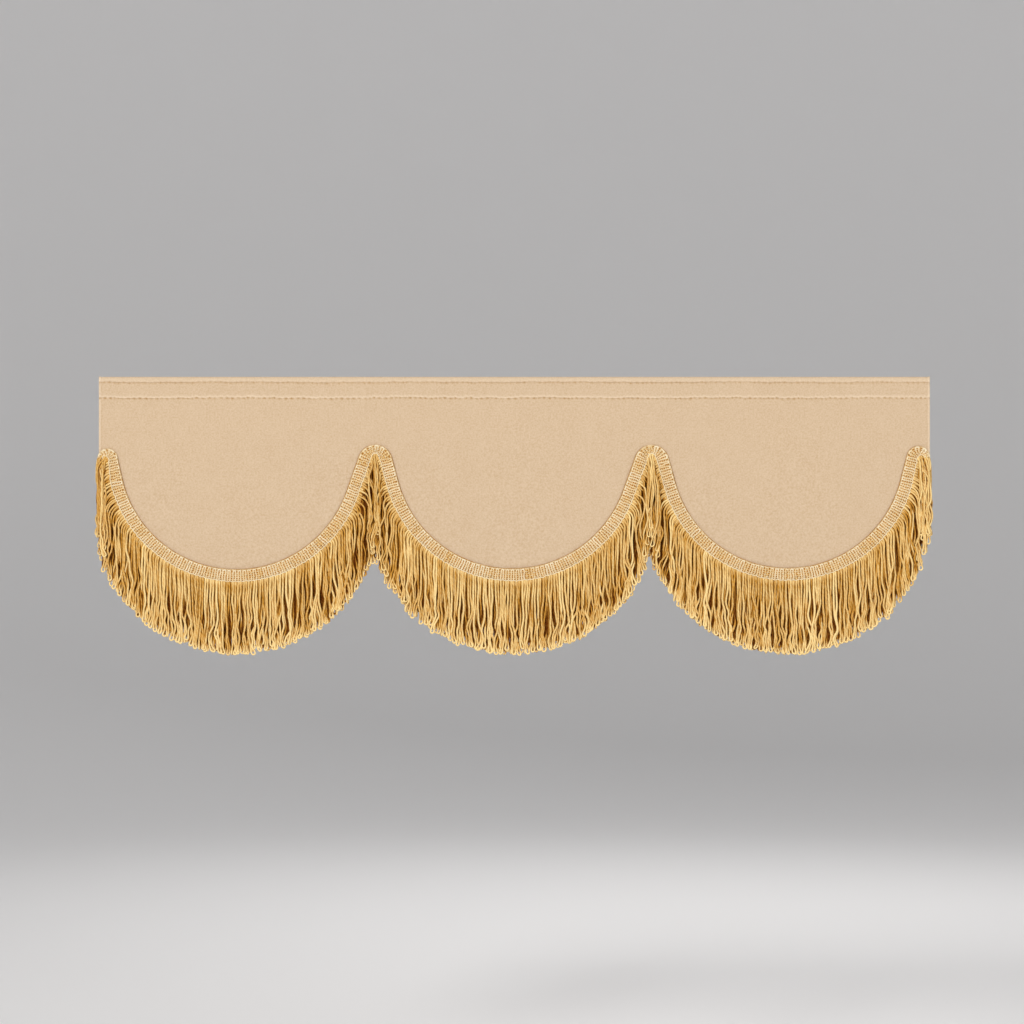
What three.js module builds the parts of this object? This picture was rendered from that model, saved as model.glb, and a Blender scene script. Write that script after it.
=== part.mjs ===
// Windshield curtain of a truck cab: a flat cloth valance whose lower edge has three deep bays,
// a knitted heading sewn over that edge, and a fringe of long yarn loops below the heading.
// X runs along the width, Z is up and the front faces -Y. The origin is the middle of the top edge.
import * as THREE from 'three';

// Cloth panel, in millimetres
const PANEL_WIDTH = 1000;
const CLOTH_THICKNESS = 1.6;
const HEM_DEPTH = 27;
const HEM_GAP = 0.4;
const SIDE_DROP = 97;
const CLOTH_UNDER_HEADING = 10;

// Heading and fringe, in millimetres
const HEADING_WIDTH = 14.5;
const HEADING_THICKNESS = 2.5;
const HEADING_CHAMFER = 0.7;
const END_FOLD_RADIUS = 0.8;
const SEAM_GAP = 0.3;
const FRINGE_THICKNESS = 4.6;
const FRINGE_REACH = 505;
const SPINE_DEPTH = 4;
const TOOTH_COUNT = 144;
const TOOTH_GAP = 1.2;
const TOOTH_ROUNDING = 2.2;

// Fringe tips: each bay's loops end on an arc of its own, a little unevenly
const TIP_RADIUS = 174.6;
const TIP_CENTRE_Z = -160.3;
const TIP_UNEVENNESS = 2.5;
const TIP_TURN = 2.4;

// Arcs that the heading's upper edge follows, from left to right. A bay sags and a peak is round
// on top, and each arc runs into the next along a straight line that touches both.
const ARCS = [
	{ kind: 'peak', x: -489.2, z: -98.3, radius: 11.6 },
	{ kind: 'bay', x: -334.5, z: -91.2, radius: 141.1 },
	{ kind: 'peak', x: -167.4, z: -102.5, radius: 20.3 },
	{ kind: 'bay', x: -2.7, z: -89, radius: 142.3 },
	{ kind: 'peak', x: 165.3, z: -102.7, radius: 20.3 },
	{ kind: 'bay', x: 328.6, z: -90.3, radius: 140.4 },
	{ kind: 'peak', x: 485.9, z: -97.5, radius: 13.7 },
];

// Soft waves of the hanging cloth. They start below the hem and are full at the given drop.
const WAVE_FULL_DROP = 200;
const WAVES = [
	{ depth: 0.8, length: 310, phase: 0.6 },
	{ depth: 0.5, length: 173, phase: 2.1 },
];

// Facets along each kind of stretch
const BAY_STEPS = 22;
const PEAK_STEPS = 8;
const LINE_STEPS = 2;
const PANEL_ROWS = 4;
const FOLD_STEPS = 4;

const HALF_HEM = CLOTH_THICKNESS + HEM_GAP / 2;
const CLOTH_FRONT = -HALF_HEM;
const CLOTH_BACK = -HEM_GAP / 2;
const HEADING_BACK = CLOTH_FRONT - SEAM_GAP;
const HEADING_FRONT = HEADING_BACK - HEADING_THICKNESS;
const FRINGE_MIDDLE = (HEADING_BACK + HEADING_FRONT) / 2;

const clothMaterial = new THREE.MeshStandardMaterial({ color: 0xd9bd9d, roughness: 0.95, metalness: 0 });
const headingMaterial = new THREE.MeshStandardMaterial({ color: 0xd7b37e, roughness: 0.6, metalness: 0 });
const yarnMaterial = new THREE.MeshStandardMaterial({ color: 0xc79b5a, roughness: 0.5, metalness: 0 });

// How far the hanging cloth stands back from its flat plane at a place
function waveAt(x, z) {
	const share = THREE.MathUtils.smoothstep(-z, HEM_DEPTH, WAVE_FULL_DROP);
	const waves = WAVES.map((wave) => wave.depth * Math.sin((2 * Math.PI * x) / wave.length + wave.phase));
	return share * waves.reduce((total, wave) => total + wave, 0);
}

// Angle, at the bay's centre, of the point where the line to a neighbouring peak leaves the bay.
// The line crosses between the two circles, so its normal makes the angle
// acos((sum of radii) / distance) with the line of centres, turned downwards.
function leavingAngle(bay, peak) {
	const across = peak.x - bay.x;
	const up = peak.z - bay.z;
	const lean = Math.acos((bay.radius + peak.radius) / Math.hypot(across, up));
	return Math.atan2(up, across) - Math.sign(across) * lean;
}

// A place on the heading's upper edge: the unit normal points across the heading, and the heading
// is drawn in on an end peak that is too tight for its full width
function edgePlace(arc, angle) {
	const side = arc.kind === 'bay' ? 1 : -1;
	const room = arc.kind === 'bay' ? HEADING_WIDTH : arc.radius - END_FOLD_RADIUS;
	return {
		x: arc.x + arc.radius * Math.cos(angle),
		z: arc.z + arc.radius * Math.sin(angle),
		nx: side * Math.cos(angle),
		nz: side * Math.sin(angle),
		width: Math.min(HEADING_WIDTH, room),
	};
}

// First and last angle of an arc. An end peak stops level with its own centre.
function arcAngles(index) {
	const arc = ARCS[index];
	const before = ARCS[index - 1];
	const after = ARCS[index + 1];
	if (arc.kind === 'bay') {
		return [leavingAngle(arc, before), leavingAngle(arc, after)];
	}
	return [
		before ? leavingAngle(before, arc) + Math.PI : Math.PI,
		after ? leavingAngle(after, arc) + Math.PI : 0,
	];
}

// Places along the heading's upper edge, from its left end to its right end
function edgePlaces() {
	const places = [];
	ARCS.forEach((arc, index) => {
		const [first, last] = arcAngles(index);
		const steps = arc.kind === 'bay' ? BAY_STEPS : PEAK_STEPS;
		const onArc = Array.from({ length: steps + 1 }, (_, step) =>
			edgePlace(arc, THREE.MathUtils.lerp(first, last, step / steps)));
		if (places.length > 0) {
			places.push(...linePlaces(places.at(-1), onArc[0]));
		}
		places.push(...onArc);
	});
	return places;
}

// Places between the ends of a straight stretch, without those ends
function linePlaces(from, to) {
	return Array.from({ length: LINE_STEPS - 1 }, (_, index) => {
		const share = (index + 1) / LINE_STEPS;
		const mix = (key) => THREE.MathUtils.lerp(from[key], to[key], share);
		return { x: mix('x'), z: mix('z'), nx: from.nx, nz: from.nz, width: mix('width') };
	});
}

// The point that lies a distance across the heading from a place on its upper edge
function across(place, distance) {
	return { x: place.x + place.nx * distance, z: place.z + place.nz * distance };
}

// Height of a line of points at x. The points run from left to right.
function heightAt(points, x) {
	const next = points.findIndex((point) => point.x >= x);
	if (next <= 0) {
		return next === 0 ? points[0].z : points.at(-1).z;
	}
	const from = points[next - 1];
	const to = points[next];
	return THREE.MathUtils.mapLinear(x, from.x, to.x, from.z, to.z);
}

// A closed body from like sections: skin between neighbours, and a lid on each end.
// The flat outline is the first section's, and it gives the lids their triangles.
function loft(sections, flatOutline) {
	const count = flatOutline.length;
	const positions = sections.flat().flatMap((point) => [point.x, point.y, point.z]);
	const triangles = [];
	for (let row = 0; row < sections.length - 1; row += 1) {
		for (let column = 0; column < count; column += 1) {
			const a = row * count + column;
			const b = row * count + ((column + 1) % count);
			triangles.push([a, b, a + count], [b, b + count, a + count]);
		}
	}
	const lastRow = (sections.length - 1) * count;
	const turned = THREE.ShapeUtils.isClockWise(flatOutline);
	for (const [a, second, third] of THREE.ShapeUtils.triangulateShape(flatOutline, [])) {
		const [b, c] = turned ? [third, second] : [second, third];
		triangles.push([a, c, b], [lastRow + a, lastRow + b, lastRow + c]);
	}
	return facingOut(positions, triangles);
}

// Geometry whose triangles face outwards: all of them turn if the signed volume is negative
function facingOut(positions, triangles) {
	const corner = (index) => new THREE.Vector3().fromArray(positions, 3 * index);
	const volume = triangles.reduce(
		(total, [a, b, c]) => total + corner(a).dot(corner(b).cross(corner(c))), 0);
	const turned = volume < 0 ? triangles.map(([a, b, c]) => [a, c, b]) : triangles;
	const geometry = new THREE.BufferGeometry();
	geometry.setAttribute('position', new THREE.Float32BufferAttribute(positions, 3));
	geometry.setIndex(turned.flat());
	geometry.computeVertexNormals();
	return geometry;
}

// Lower edge of the cloth: parallel to the heading's upper edge, and level out to each side
function clothLowerEdge(places) {
	const firstTop = ARCS[0].x;
	const lastTop = ARCS.at(-1).x;
	const inner = places
		.filter((place) => place.x >= firstTop && place.x <= lastTop)
		.map((place) => across(place, CLOTH_UNDER_HEADING));
	const side = PANEL_WIDTH / 2;
	return [{ x: -side, z: -SIDE_DROP }, ...inner, { x: side, z: -SIDE_DROP }];
}

// Section of the cloth at one place of its lower edge, as pairs of y and z: down the front,
// up the back to the fold, down the inside of the turned hem, up its outside and over the top
function clothSection(edge) {
	const rows = Array.from({ length: PANEL_ROWS + 1 }, (_, row) =>
		THREE.MathUtils.lerp(-HEM_DEPTH, edge.z, row / PANEL_ROWS));
	const wavy = (y, z) => [y + waveAt(edge.x, z), z];
	const fold = Array.from({ length: FOLD_STEPS - 1 }, (_, step) => {
		const angle = Math.PI * (1 - (step + 1) / FOLD_STEPS);
		return [-HALF_HEM * Math.cos(angle), HALF_HEM * (Math.sin(angle) - 1)];
	});
	return [
		[CLOTH_FRONT, -HALF_HEM],
		...rows.map((z) => wavy(CLOTH_FRONT, z)),
		...rows.toReversed().map((z) => wavy(CLOTH_BACK, z)),
		[CLOTH_BACK, -HALF_HEM],
		[-CLOTH_BACK, -HALF_HEM],
		[-CLOTH_BACK, -HEM_DEPTH],
		[HALF_HEM, -HEM_DEPTH],
		[HALF_HEM, -HALF_HEM],
		...fold,
	];
}

function makePanel(places) {
	const edge = clothLowerEdge(places);
	const sections = edge.map((point) =>
		clothSection(point).map(([y, z]) => ({ x: point.x, y, z })));
	const outline = clothSection(edge[0]).map((corner) => new THREE.Vector2(...corner));
	return loft(sections, outline);
}

// Section of the heading, as pairs of distance across it and y, with its corners cut off
function headingSection(width) {
	const c = HEADING_CHAMFER;
	return [
		[0, HEADING_BACK],
		[0, HEADING_FRONT + c],
		[c, HEADING_FRONT],
		[width - c, HEADING_FRONT],
		[width, HEADING_FRONT + c],
		[width, HEADING_BACK],
	];
}

function makeHeading(places) {
	const sections = places.map((place) =>
		headingSection(place.width).map(([distance, y]) => {
			const { x, z } = across(place, distance);
			return { x, y: y + waveAt(x, z), z };
		}));
	const outline = headingSection(places[0].width).map((corner) => new THREE.Vector2(...corner));
	return loft(sections, outline);
}

// Places whose stretch of heading carries fringe: all but the arcs of the two end peaks
function fringePlaces(places) {
	return places.slice(PEAK_STEPS, places.length - PEAK_STEPS);
}

// Line a distance below the heading, carried out level to the fringe's two sides
function lineBelowHeading(places, distance) {
	const points = fringePlaces(places).map((place) => across(place, place.width + distance));
	const left = ARCS[0].z - distance;
	const right = ARCS.at(-1).z - distance;
	return [
		{ x: -FRINGE_REACH, z: left },
		{ x: points[0].x, z: Math.min(left, points[0].z) },
		...points.slice(1, -1),
		{ x: points.at(-1).x, z: Math.min(right, points.at(-1).z) },
		{ x: FRINGE_REACH, z: right },
	];
}

// Height at which the loops end at x, on the arc of the bay that reaches lowest there
function tipHeight(x) {
	const heights = ARCS.filter((arc) => arc.kind === 'bay').map((bay) => {
		const reach = TIP_RADIUS ** 2 - (x - bay.x) ** 2;
		return reach > 0 ? TIP_CENTRE_Z - Math.sqrt(reach) : TIP_CENTRE_Z;
	});
	return Math.min(...heights);
}

// One tooth of the comb, from its right root to its left root. The first and last tooth end flush
// with the fringe's side, so they have no root there.
function toothOutline(tooth, roots) {
	const pitch = (2 * FRINGE_REACH) / TOOTH_COUNT;
	const isFirst = tooth === 0;
	const isLast = tooth === TOOTH_COUNT - 1;
	const left = -FRINGE_REACH + tooth * pitch + (isFirst ? 0 : TOOTH_GAP / 2);
	const right = -FRINGE_REACH + (tooth + 1) * pitch - (isLast ? 0 : TOOTH_GAP / 2);
	const middle = (left + right) / 2;
	const tip = tipHeight(middle) + TIP_UNEVENNESS * Math.sin(TIP_TURN * tooth);
	return [
		...(isLast ? [] : [{ x: right, z: heightAt(roots, right) }]),
		{ x: right, z: tip + TOOTH_ROUNDING },
		{ x: middle, z: tip },
		{ x: left, z: tip + TOOTH_ROUNDING },
		...(isFirst ? [] : [{ x: left, z: heightAt(roots, left) }]),
	];
}

// Outline of the fringe as a comb: along the heading's lower edge, then back along the teeth
function fringeOutline(places) {
	const top = lineBelowHeading(places, SEAM_GAP);
	const roots = lineBelowHeading(places, SEAM_GAP + SPINE_DEPTH);
	const teeth = Array.from({ length: TOOTH_COUNT }, (_, index) =>
		toothOutline(TOOTH_COUNT - 1 - index, roots));
	return [...top, ...teeth.flat()].map((point) => new THREE.Vector2(point.x, point.z));
}

function makeFringe(places) {
	const outline = fringeOutline(places);
	const faces = [FRINGE_MIDDLE - FRINGE_THICKNESS / 2, FRINGE_MIDDLE + FRINGE_THICKNESS / 2];
	const sections = faces.map((y) =>
		outline.map((point) => ({ x: point.x, y: y + waveAt(point.x, point.y), z: point.y })));
	return loft(sections, outline);
}

function named(name, geometry, material) {
	const mesh = new THREE.Mesh(geometry, material);
	mesh.name = name;
	return mesh;
}

const places = edgePlaces();
const curtain = new THREE.Group();
curtain.add(named('panel', makePanel(places), clothMaterial));
curtain.add(named('heading', makeHeading(places), headingMaterial));
curtain.add(named('fringe', makeFringe(places), yarnMaterial));

export default curtain;
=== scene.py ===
import math
from collections import namedtuple

import bpy
import numpy as np
from bpy.props import FloatProperty, FloatVectorProperty, PointerProperty
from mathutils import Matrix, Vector


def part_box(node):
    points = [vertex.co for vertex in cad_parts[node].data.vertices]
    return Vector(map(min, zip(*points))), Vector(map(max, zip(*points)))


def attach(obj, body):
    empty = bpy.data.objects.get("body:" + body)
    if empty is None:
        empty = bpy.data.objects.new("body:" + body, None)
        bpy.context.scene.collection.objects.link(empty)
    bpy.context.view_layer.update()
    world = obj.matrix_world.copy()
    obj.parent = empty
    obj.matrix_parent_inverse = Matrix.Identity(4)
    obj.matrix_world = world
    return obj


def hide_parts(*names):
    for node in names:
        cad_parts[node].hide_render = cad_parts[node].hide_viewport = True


bl_info = {
    "name": "Windshield curtain",
    "version": (1, 0, 0),
    "blender": (4, 5, 0),
    "location": "3D View > Sidebar > Curtain",
    "description": "Cloth panel with a sewn hem, a knitted heading and a fringe of yarn loops",
    "category": "Add Mesh",
}

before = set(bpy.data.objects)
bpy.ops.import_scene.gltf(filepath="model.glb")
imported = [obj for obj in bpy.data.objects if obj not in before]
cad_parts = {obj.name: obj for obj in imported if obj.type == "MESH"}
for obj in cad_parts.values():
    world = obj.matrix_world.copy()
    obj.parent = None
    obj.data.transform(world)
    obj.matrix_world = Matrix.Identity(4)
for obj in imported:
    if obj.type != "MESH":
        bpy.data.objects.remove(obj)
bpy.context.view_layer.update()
PANEL_LOW, PANEL_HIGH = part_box("panel")
FRINGE_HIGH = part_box("fringe")[1]

MM = 0.001

# Main sizes, in millimetres. The first two come from the frame.
PANEL_WIDTH = (PANEL_HIGH.x - PANEL_LOW.x) / MM
FRINGE_REACH = FRINGE_HIGH.x / MM
HEM_DEPTH = 27
SIDE_DROP = 97
CLOTH_UNDER_HEADING = 10
HEADING_WIDTH = 14.5
END_FOLD_RADIUS = 0.8
CLOTH_MIDDLE = -1.0
FOLD_HEIGHT = -1.8
YARN_DEPTH = -3.35

# Arcs that the heading's upper edge follows, from left to right, in millimetres. A bay sags and
# a peak is round on top. Each arc runs into the next along a straight line that touches both.
Arc = namedtuple("Arc", "kind x z radius")
ARCS = [
    Arc("peak", -489.2, -98.3, 11.6),
    Arc("bay", -334.5, -91.2, 141.1),
    Arc("peak", -167.4, -102.5, 20.3),
    Arc("bay", -2.7, -89.0, 142.3),
    Arc("peak", 165.3, -102.7, 20.3),
    Arc("bay", 328.6, -90.3, 140.4),
    Arc("peak", 485.9, -97.5, 13.7),
]
PEAKS = [arc.x for arc in ARCS if arc.kind == "peak"]
BAYS = [arc.x for arc in ARCS if arc.kind == "bay"]
ARC_SAMPLES = 240

# Circle round each bay on which its loops end, in millimetres
TIP_RADIUS = 174.6
TIP_CENTRE_Z = -160.3

# Soft waves of the hanging cloth, in millimetres. They start below the hem.
WAVE_FULL_DROP = 200
Wave = namedtuple("Wave", "depth length phase")
WAVES = [Wave(0.8, 310, 0.6), Wave(0.5, 173, 2.1)]

# Seams, in millimetres: heights of the hem's two, lengths of a stitch in the hem and in the
# heading, and how far from the side edges the hem's seams end
UPPER_SEAM = -6.8
LOWER_SEAM = -25.4
HEM_STITCH = 6.2
HEADING_STITCH = 4.6
SEAM_END = 1.5

# Depths of the hem's front and back, in millimetres, each with the way out of the cloth
HEM_FACES = ((-1.7, -1), (1.7, 1))


# Maths that the pieces share


def smooth(value, low, high):
    """Goes from 0 at low to 1 at high, level at both ends: 3t squared less 2t cubed."""
    share = np.clip((value - low) / (high - low), 0, 1)
    return share * share * (3 - 2 * share)


def bell(value, middle, width):
    """A soft bump of height 1: e to the power of minus the squared distance over the width."""
    return np.exp(-(((value - middle) / width) ** 2))


def unit(vectors):
    """Vectors divided by their own length."""
    return vectors / np.linalg.norm(vectors, axis=-1, keepdims=True)


def running_total(steps):
    """Sums of the steps so far, with 0 before the first."""
    return np.concatenate([0 * steps[..., :1], np.cumsum(steps, axis=-1)], axis=-1)


def running_length(points):
    """Length along a line of points, or along each of many lines."""
    return running_total(np.linalg.norm(np.diff(points, axis=-2), axis=-1))


def drift(random, across, along, cell_across, cell_along):
    """Smooth random field of two parameters, from -1 to 1: random numbers at the corners of a
    lattice of cells, with smoothstep weights between them both ways."""
    u = (across - across.min()) / cell_across
    v = (along - along.min()) / cell_along
    column = np.floor(u).astype(int)
    row = np.floor(v).astype(int)
    table = random.uniform(-1, 1, (column.max() + 2, row.max() + 2))
    f = smooth(u - column, 0, 1)
    g = smooth(v - row, 0, 1)
    near = table[column, row] * (1 - g) + table[column, row + 1] * g
    far = table[column + 1, row] * (1 - g) + table[column + 1, row + 1] * g
    return near * (1 - f) + far * f


def spaced(low, high, coarse, fine, places, width):
    """Numbers from low to high whose spacing is coarse, and fine near the given places. The
    density is a sum of soft bumps, and the numbers sit at equal steps of its running total."""
    line = np.linspace(low, high, 4001)
    near = np.clip(sum(bell(line, place, width) for place in places), 0, 1)
    density = 1 / coarse + (1 / fine - 1 / coarse) * near
    total = running_total((density[1:] + density[:-1]) / 2 * np.diff(line))
    count = int(np.ceil(total[-1])) + 1
    return np.interp(np.linspace(0, total[-1], count), total, line)


def wave_at(x, z):
    """How far the hanging cloth stands back from its flat plane, in millimetres: a sum of sine
    waves along the width, which fades in from the hem down."""
    total = sum(w.depth * np.sin(2 * np.pi * x / w.length + w.phase) for w in WAVES)
    return smooth(-z, HEM_DEPTH, WAVE_FULL_DROP) * total


def in_space(x, depth, z):
    """Points in metres from x, depth and z in millimetres. The cloth's waves add to the depth."""
    return np.stack([x, depth + wave_at(x, z), z], axis=-1) * MM


# Line of the heading


def leaving_angle(bay, peak):
    """Angle, at the bay's centre, of the point where the line to a neighbouring peak leaves the
    bay. Its normal makes acos((sum of radii) / distance) with the line of centres."""
    across = peak.x - bay.x
    up = peak.z - bay.z
    lean = math.acos((bay.radius + peak.radius) / math.hypot(across, up))
    return math.atan2(up, across) - math.copysign(lean, across)


def arc_angles(index):
    """First and last angle of an arc. An end peak stops level with its own centre."""
    arc = ARCS[index]
    before = ARCS[index - 1] if index > 0 else None
    after = ARCS[index + 1] if index + 1 < len(ARCS) else None
    if arc.kind == "bay":
        return leaving_angle(arc, before), leaving_angle(arc, after)
    first = leaving_angle(before, arc) + math.pi if before else math.pi
    last = leaving_angle(after, arc) + math.pi if after else 0.0
    return first, last


def band_width(index, angle):
    """Width of the heading at an angle of an arc. The crown of an inner peak is gathered a
    little, and at each side of the curtain the band tucks in to half its width."""
    arc = ARCS[index]
    if arc.kind == "bay":
        return HEADING_WIDTH + 0 * angle
    if 0 < index < len(ARCS) - 1:
        return HEADING_WIDTH * (1 - 0.3 * bell(angle, np.pi / 2, 0.6))
    past_crown = (angle / (np.pi / 2) - 1) * (1 if index == 0 else -1)
    return (arc.radius - END_FOLD_RADIUS) * (1 - 0.5 * smooth(past_crown, -0.2, 1))


def arc_samples(index):
    """Places along one arc, a row each: x, z, the normal across the heading, and its width."""
    arc = ARCS[index]
    angle = np.linspace(*arc_angles(index), ARC_SAMPLES)
    side = 1 if arc.kind == "bay" else -1
    return np.stack([
        arc.x + arc.radius * np.cos(angle),
        arc.z + arc.radius * np.sin(angle),
        side * np.cos(angle),
        side * np.sin(angle),
        band_width(index, angle),
    ], axis=1)


EDGE = np.concatenate([arc_samples(index) for index in range(len(ARCS))])
EDGE_LENGTHS = running_length(EDGE[:, :2] + EDGE[:, 2:4] * EDGE[:, 4:] / 2)
HEADING_LENGTH = EDGE_LENGTHS[-1]


def on_heading(length, share):
    """Places on the heading, in millimetres, from a length along its middle line and a share of
    its width down from the upper edge. Gives x, z and the normal across the heading."""
    x, z, nx, nz, width = (np.interp(length, EDGE_LENGTHS, column) for column in EDGE.T)
    size = np.hypot(nx, nz)
    nx = nx / size
    nz = nz / size
    return x + nx * width * share, z + nz * width * share, nx, nz


def cloth_lower_edge(x):
    """Height of the cloth's lower edge: a fixed distance below the heading's upper edge, and
    level from the two end peaks out to the sides."""
    inner = (EDGE[:, 0] >= PEAKS[0]) & (EDGE[:, 0] <= PEAKS[-1])
    line = (EDGE[:, :2] + EDGE[:, 2:4] * CLOTH_UNDER_HEADING)[inner]
    side = PANEL_WIDTH / 2
    edge_x = np.concatenate([[-side], line[:, 0], [side]])
    edge_z = np.concatenate([[-SIDE_DROP], line[:, 1], [-SIDE_DROP]])
    return np.interp(x, edge_x, edge_z)


# Meshes


def grid_faces(rows, columns, ring=False, turn=False):
    """Faces of a grid of points, row after row. The last row joins the first in a ring, and the
    last column the first in a turn."""
    row = np.arange(rows if ring else rows - 1)[:, None]
    column = np.arange(columns if turn else columns - 1)
    here = row * columns
    below = (row + 1) % rows * columns
    beside = (column + 1) % columns
    corners = [here + column, here + beside, below + beside, below + column]
    return np.stack(corners, axis=-1).reshape(-1, 4)


def turned_over(quads):
    """The same faces, facing the other way."""
    return quads[:, [0, 3, 2, 1]]


class Surface:
    """Collects points and faces, and makes one mesh of them. Each corner of a face has a place
    in the map, and each point has a tone."""

    def __init__(self):
        self.points = []
        self.tones = []
        self.faces = {4: [], 3: []}
        self.maps = {4: [], 3: []}
        self.count = 0

    def add(self, points, tones, *faces, maps=None):
        """Adds points with their quads, and their triangles if there are any. Without maps, a
        corner's place is its x and z."""
        flat = points.reshape(-1, 3)
        maps = maps or [flat[part][..., [0, 2]] for part in faces]
        for part, places in zip(faces, maps):
            self.faces[part.shape[1]].append(part + self.count)
            self.maps[part.shape[1]].append(places.reshape(-1, 2))
        self.points.append(flat)
        self.tones.append(np.broadcast_to(tones, points.shape[:-1]).reshape(-1))
        self.count += len(flat)

    def make(self, name, material):
        """Makes one object of all that was added."""
        points = np.concatenate(self.points)
        quads = np.concatenate(self.faces[4])
        triangles = np.concatenate(self.faces[3])
        corners = np.concatenate([quads.ravel(), triangles.ravel()])
        triangle_starts = 4 * len(quads) + 3 * np.arange(len(triangles))
        starts = np.concatenate([4 * np.arange(len(quads)), triangle_starts])
        mesh = bpy.data.meshes.new(name)
        mesh.vertices.add(len(points))
        mesh.vertices.foreach_set("co", points.astype(np.float32).ravel())
        mesh.loops.add(len(corners))
        mesh.loops.foreach_set("vertex_index", corners.astype(np.int32))
        mesh.polygons.add(len(starts))
        mesh.polygons.foreach_set("loop_start", starts.astype(np.int32))
        mesh.update(calc_edges=True)
        mesh.shade_smooth()
        places = np.concatenate(self.maps[4] + self.maps[3]).astype(np.float32)
        mesh.uv_layers.new(name="place").data.foreach_set("uv", places.ravel())
        tone = mesh.attributes.new("tone", "FLOAT", "POINT")
        tone.data.foreach_set("value", np.concatenate(self.tones).astype(np.float32))
        mesh.materials.append(material)
        piece = bpy.data.objects.new(name, mesh)
        bpy.context.scene.collection.objects.link(piece)
        return piece


def seat(piece, node=None):
    """Rides a piece on the curtain's body, and lets it stand for the
    node that it replaces."""
    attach(piece, "root")
    if node:
        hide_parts(node)


UPWARD = np.array([0.0, 0.0, 1.0])
FACING = np.array([0.0, -1.0, 0.0])

# How much painted shade lowers the tone on the sides of a yarn, in a bundle and on its own
BUNDLE_SHADE = 0.55
SINGLE_SHADE = 0.4


def add_yarn(surface, path, beside, radius, sides, tone, inside=None):
    """Adds round yarns. path holds their centre points in metres, as yarn by ring by axis, and
    beside a direction across each. A ring is its centre plus radius times (cos a times the
    direction beside the yarn, plus sin a times the one at right angles), and a point closes each
    end. The tone carries painted shade: it is lower on a yarn's sides, and towards the middle of a
    bundle. inside gives the depth of that middle and how far from it the painted shade reaches."""
    yarns, rings, _ = path.shape
    tangent = unit(np.gradient(path, axis=1))
    beside = unit(beside - np.sum(beside * tangent, axis=-1, keepdims=True) * tangent)
    other = np.cross(tangent, beside)
    angle = (2 * np.pi * np.arange(sides) / sides)[:, None]
    spokes = beside[:, :, None] * np.cos(angle) + other[:, :, None] * np.sin(angle)
    size = np.broadcast_to(radius, (yarns, rings))[:, :, None]
    skin = (path[:, :, None] + size[..., None] * spokes).reshape(yarns, rings * sides, 3)
    outward = tangent[:, [0, -1]] * size[:, [0, -1]] * np.array([[-0.5], [0.5]])
    points = np.concatenate([skin, path[:, [0, -1]] + outward], axis=1)
    tone = np.repeat(np.broadcast_to(tone, (yarns, rings)), sides, axis=1)
    # Painted shade towards the middle of a bundle
    if inside:
        middle, full = (np.repeat(part, sides, axis=1) for part in inside)
        tone = tone * (0.05 + 0.95 * smooth(np.abs(skin[..., 1] - middle), 0.05 * full, full))
    # Painted shade on the yarn's sides, away from its front and back
    sideways = 1 - np.abs(spokes[..., 1]).reshape(yarns, rings * sides)
    shade = BUNDLE_SHADE if inside else SINGLE_SHADE
    tone = tone - shade * smooth(sideways, 0.2, 1)
    tone = np.concatenate([tone, tone[:, [0, -1]]], axis=1)

    spot = np.arange(sides)
    after = (spot + 1) % sides
    last = (rings - 1) * sides
    start_fan = np.stack([np.full(sides, rings * sides), after, spot], axis=-1)
    end_fan = np.stack([np.full(sides, rings * sides + 1), last + spot, last + after], axis=-1)
    first = np.arange(yarns)[:, None, None] * (rings * sides + 2)
    quads = (grid_faces(rings, sides, turn=True) + first).reshape(-1, 4)
    fans = (np.concatenate([start_fan, end_fan]) + first).reshape(-1, 3)

    # In the map, the turn round the yarn goes from 0 to 1 and needs one more column of places
    along = running_length(path)[..., None]
    turn = np.arange(sides + 1) / sides
    places = np.stack(np.broadcast_arrays(turn, along), axis=-1).reshape(yarns, -1, 2)
    fan = np.stack([spot, spot + 1, spot], axis=-1)
    ends = np.concatenate([fan, fan + (rings - 1) * (sides + 1)])
    maps = (places[:, grid_faces(rings, sides + 1)], places[:, ends])
    surface.add(points, tone, quads, fans, maps=maps)


# Shader maths


class Maths:
    """A socket that gives a number, so that maths on it is written as a Python expression."""

    def __init__(self, finish, socket):
        self.finish = finish
        self.socket = socket

    def join(self, operation, first, second):
        return self.finish.node("Math", 0, {0: first, 1: second}, operation=operation)

    def __add__(self, other):
        return self.join("ADD", self, other)

    def __sub__(self, other):
        return self.join("SUBTRACT", self, other)

    def __rsub__(self, other):
        return self.join("SUBTRACT", other, self)

    def __mul__(self, other):
        return self.join("MULTIPLY", self, other)


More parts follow.
